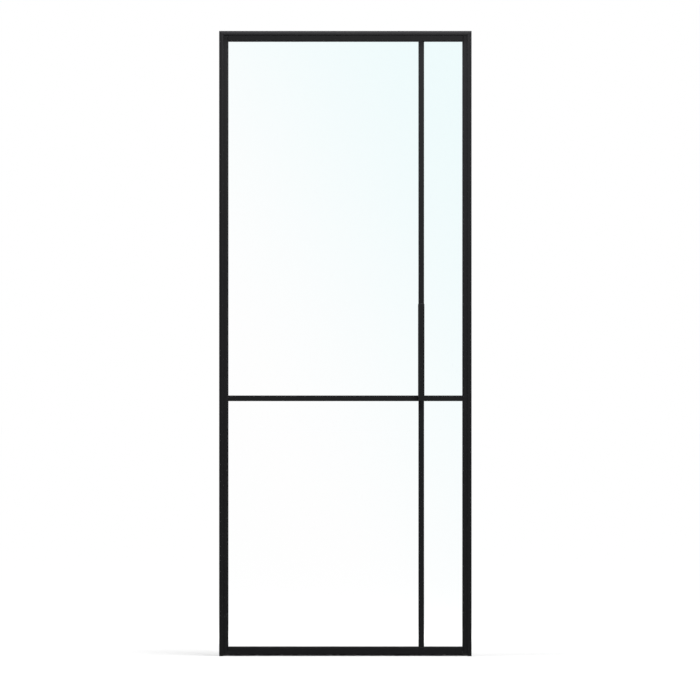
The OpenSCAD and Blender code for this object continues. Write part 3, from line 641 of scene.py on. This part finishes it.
class GLASSDOOR_OT_pane(bpy.types.Operator):
    """Dresses the pane, its gaskets and blocks, and the stop seals"""

    bl_idname = "glass_door.pane"
    bl_label = "Pane and Seals"

    def execute(self, context):
        dress(finish_for(toughened_glass), "glass_pane")
        dress(finish_for(seal_rubber), *RUBBER)
        return {"FINISHED"}


class GLASSDOOR_OT_gasket_lips(bpy.types.Operator):
    """Builds the soft lips of the gaskets that show beside the glass"""

    bl_idname = "glass_door.gasket_lips"
    bl_label = "Gasket Lips"

    def execute(self, context):
        out = context.scene.glass_door_sizes.lip_out
        left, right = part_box("hinge_stile")[1].x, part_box("closing_stile")[0].x
        bottom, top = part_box("bottom_rail")[1].z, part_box("top_rail")[0].z
        low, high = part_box("glass_pane")
        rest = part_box("gasket_top")[1].y - high.y
        # Lip: a wedge that leans on the glass, u out of the channel and v off the glass. Its
        # corners are rounded by the second list.
        u, v = rounded(
            [[-out, 0], [out, 0], [0.8 * out, 0.35 * rest], [0, rest], [-out, rest]],
            [0.1 * MM, 0.15 * MM, 0.3 * MM, 0.4 * MM, 0.1 * MM]).T
        # Each length runs along one side of the daylight opening; its ends are mitred.
        around = (
            (left + u, bottom + u), (right - u, bottom + u), (right - u, top - u), (left + u, top - u))
        lengths = []
        for y in (low.y - v, high.y + v):
            corners = [np.stack([x, y, z], 1) for x, z in around]
            lengths += [np.stack([corners[i - 1], corners[i]]) for i in (1, 2, 3, 0)]
        make_piece("gasket_lips", np.stack(lengths), "leaf", finish_for(seal_rubber))
        return {"FINISHED"}


class GLASSDOOR_OT_hinges(bpy.types.Operator):
    """Dresses the hinges with their pins and washers"""

    bl_idname = "glass_door.hinges"
    bl_label = "Hinges"

    def execute(self, context):
        for place in HINGE_PLACES:
            dress(finish_for(hinge_paint), "hinge_frame_wing_" + place, "hinge_leaf_wing_" + place)
            dress(finish_for(ground_steel), "hinge_pin_" + place)
        dress(finish_for(turned_brass), "hinge_washers")
        return {"FINISHED"}


class GLASSDOOR_OT_screws(bpy.types.Operator):
    """Builds the countersunk screws with their six-lobe sockets"""

    bl_idname = "glass_door.screws"
    bl_label = "Screws"

    def execute(self, context):
        depth = context.scene.glass_door_sizes.socket_depth
        for node, body in SCREWS.items():
            rings = np.stack([self.screw(points, depth) for points in islands(node)])
            make_piece(node + "_turned", rings, body, finish_for(bright_zinc), [node])
        return {"FINISHED"}

    def screw(self, points, socket_depth, socket_share=0.42, lobe=0.14, sides=36):
        """One screw: radius r(d) turned about its line, d the depth under the head's face; the
        rings of the socket follow r (1 + lobe cos 6a) round the angle a."""
        low, high = points.min(0), points.max(0)
        size, middle = high - low, (low + high) / 2
        axis = int(np.argmax(np.abs(size - np.median(size))))
        others = [i for i in (X, Y, Z) if i != axis]
        # The wider of the two ends is the head.
        away = np.linalg.norm((points - middle)[:, others], axis=1)
        touch = 10 ** -SAME_DECIMALS
        reach = [away[np.abs(points[:, axis] - end[axis]) < touch].max() for end in (low, high)]
        face, out = (high[axis], 1) if reach[1] > reach[0] else (low[axis], -1)
        head, shank, socket = max(reach), min(reach), socket_share * max(reach)
        whole, deep = size[axis], min(socket_depth, size[axis] / 2)
        # Depth, radius and share of the lobes, ring by ring
        d, r, lobed = np.array([
            # chamfered end, shank, and the cone under the head
            (whole, 0.6 * shank, 0), (whole - 0.4 * shank, shank, 0), (head - shank, shank, 0),
            # soft edge of the head
            (0.06 * head, 0.97 * head, 0), (0.02 * head, 0.96 * head, 0), (0, 0.92 * head, 0),
            # mouth, walls and floor of the socket
            (0, 1.2 * socket, 0.8), (0.08 * deep, 1.04 * socket, 1), (deep, 0.95 * socket, 1),
            (deep, 0.3 * socket, 0),
        ]).T[:, :, None]
        angle = np.linspace(0, 2 * np.pi, sides, endpoint=False)
        r = r * (1 + lobe * lobed * np.cos(6 * angle))
        rings = np.empty((*r.shape, 3))
        rings[..., axis] = face - out * d
        rings[..., others[0]] = middle[others[0]] + r * np.cos(angle)
        rings[..., others[1]] = middle[others[1]] + r * np.sin(angle)
        return rings


class GLASSDOOR_OT_fixings(bpy.types.Operator):
    """Dresses cleats, plates, studs, caps, grommets and the magnet catch"""

    bl_idname = "glass_door.fixings"
    bl_label = "Fixings and Catch"

    def execute(self, context):
        dress(finish_for(bright_zinc), *ZINC)
        dress(finish_for(ground_steel), "catch_keeper", "catch_magnet")
        dress(finish_for(moulded_nylon), *NYLON)
        return {"FINISHED"}


class GLASSDOOR_OT_brush(bpy.types.Operator):
    """Builds the brush under the bottom rail as a strip with fibre tufts"""

    bl_idname = "glass_door.brush"
    bl_label = "Brush"

    def execute(self, context):
        sizes, seed = context.scene.glass_door_sizes, context.scene.glass_door_studio.seed
        low, high = corners_of("brush_seal")
        base = high[Z] - sizes.brush_strip
        rings = self.strip(low, high, base, sizes.brush_round)
        make_piece("brush_strip", rings[None], "leaf", finish_for(brush_fibre), ["brush_seal"])
        rings = self.tufts(low[X], high[X], base, sizes, np.random.default_rng(seed))
        make_piece("brush_tufts", rings, "leaf", finish_for(brush_fibre))
        return {"FINISHED"}

    def strip(self, low, high, base, edge):
        """Strip: a flat outline with rounded edges, carried along the rail."""
        outline = rounded(
            [[low[Y], base], [high[Y], base], [high[Y], high[Z]], [low[Y], high[Z]]], [edge] * 4)
        rings = np.zeros((2, len(outline), 3))
        rings[..., Y:] = outline
        rings[0, :, X] = low[X]
        rings[1, :, X] = high[X]
        return rings

    def tufts(self, left, right, base, sizes, dice):
        """Tufts in three rows: square tapering rods from the strip down, whose tips lean by a
        random part of the pitch; a point at depth t lies at root + lean t^2 and narrows by t / 3."""
        stray, lean_spread, lowest_tip, highest_tip = 0.25, 0.3, 0.05 * MM, 0.4 * MM
        count = int((right - left) / sizes.tuft_pitch)
        x = left + (np.arange(count) + 0.5) * (right - left) / count
        rows = np.array([-1, 0, 1]) * sizes.tuft_rows
        root = np.stack(np.meshgrid(x, rows, indexing="ij"), -1)
        root[..., 0] += np.arange(len(rows)) * sizes.tuft_pitch / len(rows)
        root = root.reshape(-1, 2)
        root = root + dice.uniform(-stray, stray, root.shape) * sizes.tuft_pitch
        lean = dice.normal(0, lean_spread, root.shape) * sizes.tuft_pitch
        tip = dice.uniform(lowest_tip, highest_tip, len(root))
        t = np.linspace(0, 1, 4)[None, :, None, None]
        corner = np.array([[-1, -1], [1, -1], [1, 1], [-1, 1]])[None, None] * sizes.tuft_width / 2
        flat = root[:, None, None] + lean[:, None, None] * t ** 2 + corner * (1 - t / 3)
        flat[..., 1] = np.clip(flat[..., 1], -sizes.pile_width / 2, sizes.pile_width / 2)
        height = base + (tip[:, None, None, None] - base) * t
        return np.concatenate([flat, np.broadcast_to(height, (*flat.shape[:3], 1))], -1)


class GLASSDOOR_OT_stage(bpy.types.Operator):
    """Sets up the pale floor, the white surround, the lamps and the camera"""

    bl_idname = "glass_door.stage"
    bl_label = "Studio"

    def execute(self, context):
        scene, studio = context.scene, context.scene.glass_door_studio
        scene.view_settings.view_transform = "Standard"
        self.surround(scene, studio)
        self.floor(scene, studio)
        for name in LAMPS:
            self.lamp(scene, name + "_lamp", getattr(studio, name), *LAMPS[name])
        self.camera(scene, studio)
        return {"FINISHED"}

    def seen(self, tree):
        """One where the ray comes from the camera, a mirror or the glass, else zero."""
        path = add(tree, "ShaderNodeLightPath")
        most = path.outputs["Is Camera Ray"]
        for ray in ("Is Glossy Ray", "Is Transmission Ray"):
            most = add(tree, "ShaderNodeMath", {
                0: most, 1: path.outputs[ray]}, operation="MAXIMUM").outputs[0]
        return most

    def surround(self, scene, studio):
        """White where it is seen, dim as light."""
        world = bpy.data.worlds.new("white_surround")
        scene.world = world
        world.use_nodes = True
        tree = world.node_tree
        tree.nodes.clear()
        strength = add(tree, "ShaderNodeMapRange", {
            "Value": self.seen(tree), "To Min": studio.ambient, "To Max": 1.0})
        sky = add(tree, "ShaderNodeBackground", {
            "Color": (1, 1, 1, 1), "Strength": strength.outputs[0]})
        add(tree, "ShaderNodeOutputWorld", {"Surface": sky.outputs[0]})

    def floor(self, scene, studio):
        """Pale floor that is lit by the lamps and looks white; its own glow is lower just behind
        the door, so that the door's shadow stays on it."""
        material, tree, place = begin("pale_studio_floor")
        away = add(tree, "ShaderNodeVectorMath", {0: place, 1: GLOW_CENTRE}, operation="DISTANCE")
        glow = add(tree, "ShaderNodeMapRange", {
            "Value": away.outputs["Value"], "From Min": GLOW_RISE[0], "From Max": GLOW_RISE[1],
            "To Min": studio.glow_near, "To Max": studio.glow_far}, interpolation_type="SMOOTHSTEP")
        strength = add(tree, "ShaderNodeMath", {
            0: glow.outputs[0], 1: self.seen(tree)}, operation="MULTIPLY")
        grey = studio.floor
        matt = add(tree, "ShaderNodeBsdfDiffuse", {"Color": (grey, grey, grey, 1)})
        light = add(tree, "ShaderNodeEmission", {"Strength": strength.outputs[0]})
        both = add(tree, "ShaderNodeAddShader", {0: matt.outputs[0], 1: light.outputs[0]})
        add(tree, "ShaderNodeOutputMaterial", {"Surface": both.outputs[0]})
        mesh = bpy.data.meshes.new("floor")
        corners = [(x * FLOOR_REACH, y * FLOOR_REACH, -FLOOR_DROP)
                   for x, y in ((-1, -1), (1, -1), (1, 1), (-1, 1))]
        mesh.from_pydata(corners, [], [(0, 1, 2, 3)])
        mesh.materials.append(material)
        made = bpy.data.objects.new("floor", mesh)
        scene.collection.objects.link(made)
        return made

    def lamp(self, scene, name, power, size, place, tilt, turn):
        """Soft oblong lamp that no mirror shows, because its image would glare on metal; tilt 0
        shines down, 90 shines to the back, turn swings it left."""
        light = bpy.data.lights.new(name, "AREA")
        light.energy = power
        light.shape = "RECTANGLE"
        light.size, light.size_y = size
        made = bpy.data.objects.new(name, light)
        made.location = place
        made.rotation_euler = (math.radians(tilt), 0, math.radians(turn))
        made.visible_camera = made.visible_glossy = made.visible_transmission = False
        scene.collection.objects.link(made)

    def camera(self, scene, studio):
        """Camera straight in front, as far off as makes the picture the wanted width."""
        eye = bpy.data.cameras.new("camera")
        eye.lens = studio.lens
        eye.sensor_width = SENSOR_WIDTH
        eye.clip_end = CAMERA_REACH
        made = bpy.data.objects.new("camera", eye)
        made.location = (studio.aim_x, -studio.view_width * studio.lens / SENSOR_WIDTH, studio.aim_z)
        made.rotation_euler = (math.radians(90), 0, 0)
        scene.collection.objects.link(made)
        scene.camera = made


STEPS = (
    GLASSDOOR_OT_profiles, GLASSDOOR_OT_face_strips, GLASSDOOR_OT_bars, GLASSDOOR_OT_handles,
    GLASSDOOR_OT_pane, GLASSDOOR_OT_gasket_lips, GLASSDOOR_OT_hinges, GLASSDOOR_OT_screws,
    GLASSDOOR_OT_fixings, GLASSDOOR_OT_brush, GLASSDOOR_OT_stage,
)
GROUPS = {
    "glass_door_sizes": GlassDoorSizes,
    "glass_door_colours": GlassDoorColours,
    "glass_door_studio": GlassDoorStudio,
}


class GLASSDOOR_PT_panel(bpy.types.Panel):
    """Lists the settings and the steps that dress the door"""

    bl_idname = "GLASSDOOR_PT_panel"
    bl_label = "Glass Door"
    bl_space_type = "VIEW_3D"
    bl_region_type = "UI"
    bl_category = "Glass Door"

    def draw(self, context):
        for name in GROUPS:
            group = getattr(context.scene, name)
            box = self.layout.box()
            for key in group.bl_rna.properties.keys():
                if key not in ("rna_type", "name"):
                    box.prop(group, key)
        for step in STEPS:
            self.layout.operator(step.bl_idname)


CLASSES = (*GROUPS.values(), *STEPS, GLASSDOOR_PT_panel)


def register():
    for cls in CLASSES:
        bpy.utils.register_class(cls)
    for name, group in GROUPS.items():
        setattr(bpy.types.Scene, name, PointerProperty(type=group))


def unregister():
    for name in GROUPS:
        delattr(bpy.types.Scene, name)
    for cls in reversed(CLASSES):
        bpy.utils.unregister_class(cls)


def main():
    register()
    bpy.ops.glass_door.profiles()
    bpy.ops.glass_door.face_strips()
    bpy.ops.glass_door.bars()
    bpy.ops.glass_door.handles()
    bpy.ops.glass_door.pane()
    bpy.ops.glass_door.gasket_lips()
    bpy.ops.glass_door.hinges()
    bpy.ops.glass_door.screws()
    bpy.ops.glass_door.fixings()
    bpy.ops.glass_door.brush()
    bpy.ops.glass_door.stage()


if __name__ == "__main__":
    main()
